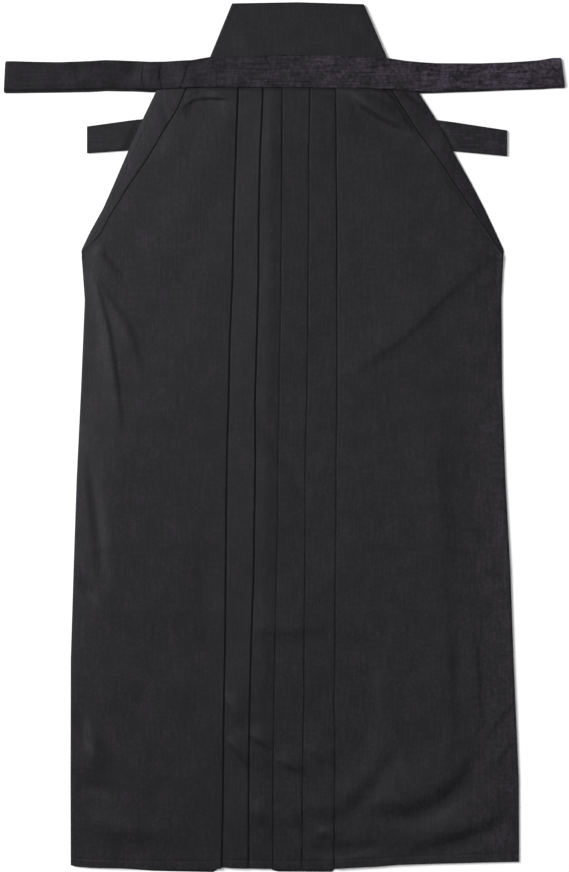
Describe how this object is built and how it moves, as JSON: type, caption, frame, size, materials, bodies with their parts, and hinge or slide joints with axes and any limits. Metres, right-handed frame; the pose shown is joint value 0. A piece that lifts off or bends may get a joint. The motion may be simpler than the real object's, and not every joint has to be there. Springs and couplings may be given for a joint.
{
  "type": "hakama trousers",
  "caption": "Pleated hakama trousers laid flat with the front up: stiff back waist board, folded front ties, back ties and knife pleats down to the hem.",
  "frame": {"origin": "on the floor under the middle of the whole outline, board and ties included", "axes": "+X runs across towards the wearer's left leg, +Y runs up the garment to the waist board, +Z leaves the floor and the front of the garment faces it"},
  "size_m": [0.6832, 1.0576, 0.0069],
  "materials": {
    "front_cloth": "matt fine twill with a faint sheen",
    "back_cloth": "matt fine twill with a faint sheen",
    "tie_cloth": "matt twill folded flat and stitched along its edges",
    "board_cloth": "matt twill stretched over a stiff board"
  },
  "bodies": {
    "root": {"koshi_ita": "board_cloth", "front_himo": "tie_cloth", "back_himo_right": "tie_cloth", "back_himo_left": "tie_cloth", "front_panel_right": "front_cloth", "front_panel_left": "front_cloth", "back_panel_right": "back_cloth", "back_panel_left": "back_cloth"}
  },
  "joints": []
}
